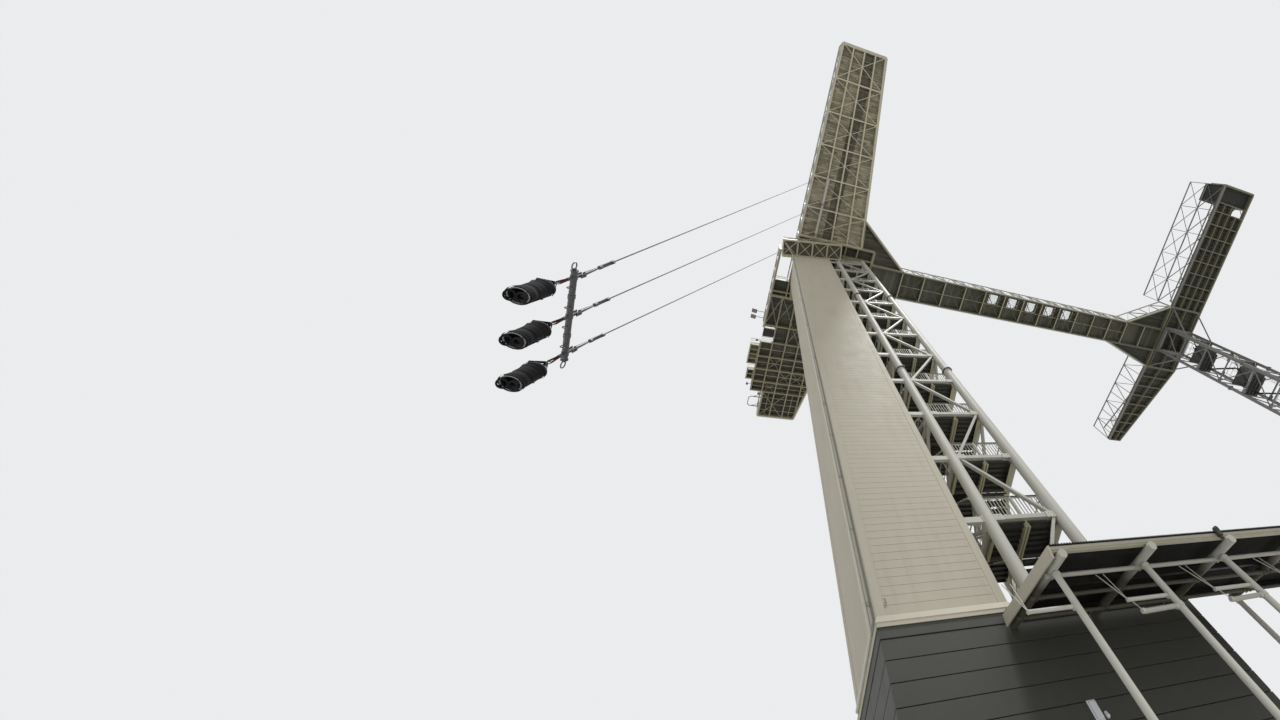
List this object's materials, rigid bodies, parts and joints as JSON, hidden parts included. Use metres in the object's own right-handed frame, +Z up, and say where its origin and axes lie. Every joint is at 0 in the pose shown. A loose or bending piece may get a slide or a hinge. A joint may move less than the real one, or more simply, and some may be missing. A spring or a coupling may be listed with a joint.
{
  "type": "giant swing and jump tower with sky bridge, 1:2 scale model",
  "caption": "Steel jump and giant-swing tower: clad lift shaft, open stair, high jetties, sky bridge to a lattice mast, and a cable swing hinged under the front jetty; 1:2 scale model.",
  "frame": {"origin": "centre of the underside of the base building's floor slab, at ground level", "axes": "+X along the sky bridge towards the outer mast, +Y away from the canopy side, +Z up"},
  "size_m": [29.531, 18.5506, 25.8],
  "materials": {
    "slab_concrete": "matt grey slab",
    "grey_boards": "satin dark grey boards",
    "cream_cladding": "satin cream ribbed sheet",
    "white_tube": "satin off-white paint",
    "beige_steel": "satin light beige paint, dulled",
    "grey_steel": "satin light grey paint",
    "deck_plate": "dull olive grey plate",
    "dark_sheet": "dark sheet",
    "stair_steel": "galvanised grey",
    "pipe_grey": "satin grey pipe",
    "lamp_white": "matt white lamp body",
    "floor_glass": "clear laminated glass",
    "cable_steel": "stranded wire",
    "bar_steel": "worn bright steel",
    "harness_webbing": "black webbing"
  },
  "bodies": {
    "tower": {"floor_slab": "slab_concrete", "front_wall": "grey_boards", "door_head": "grey_boards", "side_walls": "grey_boards", "rear_wall": "grey_boards", "base_roof": "dark_sheet", "canopy_roof": "dark_sheet", "canopy_frame": "white_tube", "canopy_fascia": "cream_cladding", "canopy_posts": "white_tube", "wall_lamp": "lamp_white", "shaft_front": "cream_cladding", "shaft_sides": "cream_cladding", "shaft_rear": "cream_cladding", "shaft_downpipe": "pipe_grey", "stair_columns": "white_tube", "stair_front_frame": "grey_steel", "stair_side_frames": "grey_steel", "stair_rear_frame": "grey_steel", "shaft_ties": "white_tube", "stair_landings": "stair_steel", "stair_stringers": "beige_steel", "stair_treads": "stair_steel", "landing_rails": "grey_steel", "head_grillage": "beige_steel", "head_beams": "beige_steel", "head_plates": "deck_plate", "head_rails": "grey_steel", "lift_house": "cream_cladding", "service_balcony": "beige_steel", "front_jetty_beams": "beige_steel", "front_jetty_plates": "deck_plate", "front_jetty_trusses": "grey_steel", "rear_jetty_beams": "beige_steel", "rear_jetty_plates": "deck_plate", "rear_jetty_trusses": "grey_steel", "jump_platforms": "deck_plate", "bridge_beams": "beige_steel", "bridge_plates": "deck_plate", "bridge_glass": "floor_glass", "bridge_near_truss": "grey_steel", "bridge_far_truss": "grey_steel", "hub_beams": "beige_steel", "hub_plates": "deck_plate", "near_arm_beams": "beige_steel", "near_arm_plates": "deck_plate", "far_arm_beams": "beige_steel", "far_arm_plates": "deck_plate", "near_arm_frames": "grey_steel", "far_arm_frames": "grey_steel", "winch_house": "dark_sheet", "mast_head": "grey_steel", "mast_legs": "grey_steel", "mast_lattices": "grey_steel", "mast_platforms": "dark_sheet", "mast_ladder": "stair_steel", "swing_hangers": "grey_steel"},
    "swing": {"swing_cables": "cable_steel", "spreader_bar": "bar_steel", "rider_harness": "harness_webbing"}
  },
  "joints": [
    {"name": "swing_hinge", "type": "hinge", "parent": "tower", "child": "swing", "pos_m": [-1.32, -3.14, 23.06], "axis": [0, 1, 0], "range_deg": [-83.9, 56.1]}
  ]
}
